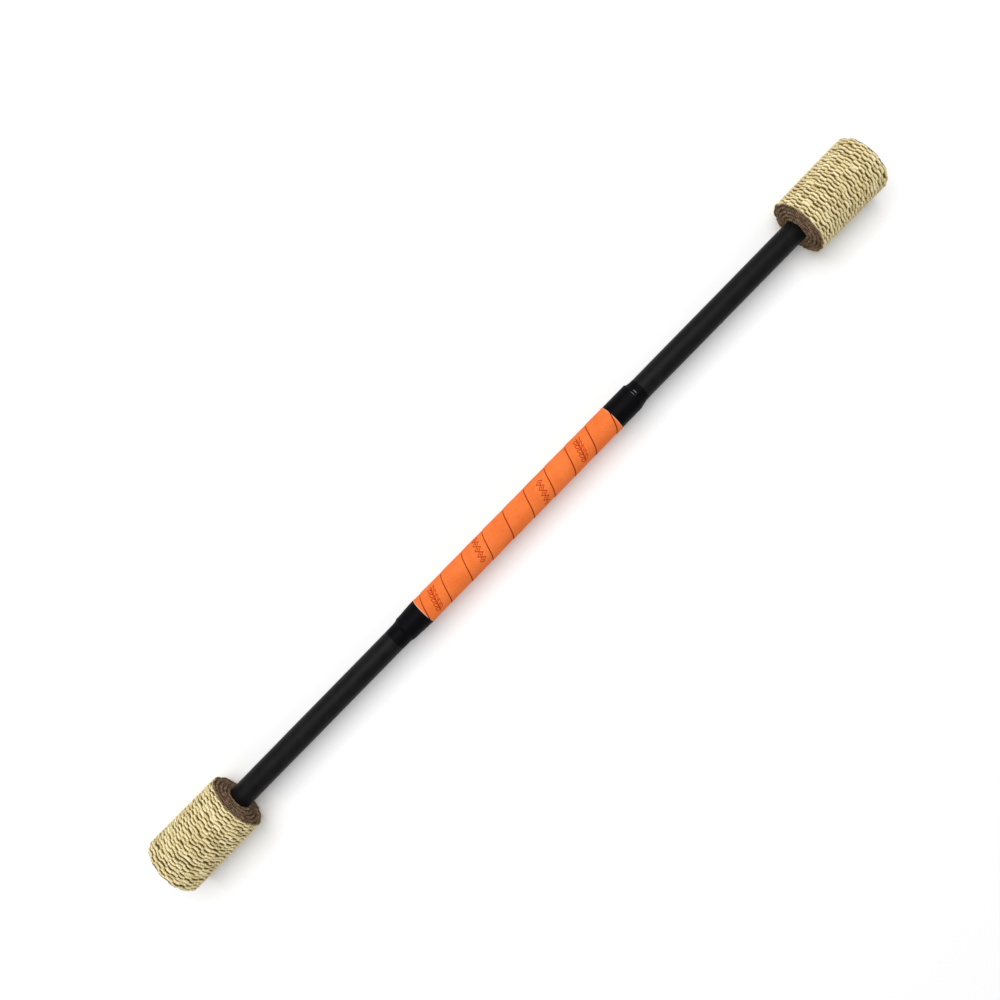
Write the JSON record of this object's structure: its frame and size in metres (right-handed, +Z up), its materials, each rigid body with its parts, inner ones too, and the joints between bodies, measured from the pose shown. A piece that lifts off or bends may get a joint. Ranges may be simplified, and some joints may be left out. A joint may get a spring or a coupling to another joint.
{
  "type": "fire devil stick",
  "caption": "Short fire staff: a slim tube with a wound grip in the middle and a thick roll of wick tape on each end.",
  "frame": {"origin": "on the shaft's axis, at the middle of the grip", "axes": "+X along the shaft towards the right wick, +Z up from the surface that the staff lies on"},
  "size_m": [0.706, 0.0474, 0.0453],
  "materials": {
    "tube_aluminium": "satin",
    "sleeve_black": "satin",
    "dowel_wood": "matte",
    "grip_orange": "matte",
    "collar_black": "satin",
    "wick_aramid": "matte",
    "screw_steel": "satin",
    "washer_steel": "satin"
  },
  "bodies": {
    "root": {"shaft_tube": "tube_aluminium", "shaft_sleeve": "sleeve_black", "dowel_left": "dowel_wood", "dowel_right": "dowel_wood", "grip_tape": "grip_orange", "collar_left": "collar_black", "collar_right": "collar_black", "wick_left": "wick_aramid", "wick_right": "wick_aramid", "start_screws_left": "screw_steel", "start_screws_right": "screw_steel", "start_washers_left": "washer_steel", "start_washers_right": "washer_steel", "tail_screws_left": "screw_steel", "tail_screws_right": "screw_steel", "tail_washers_left": "washer_steel", "tail_washers_right": "washer_steel"}
  },
  "joints": []
}
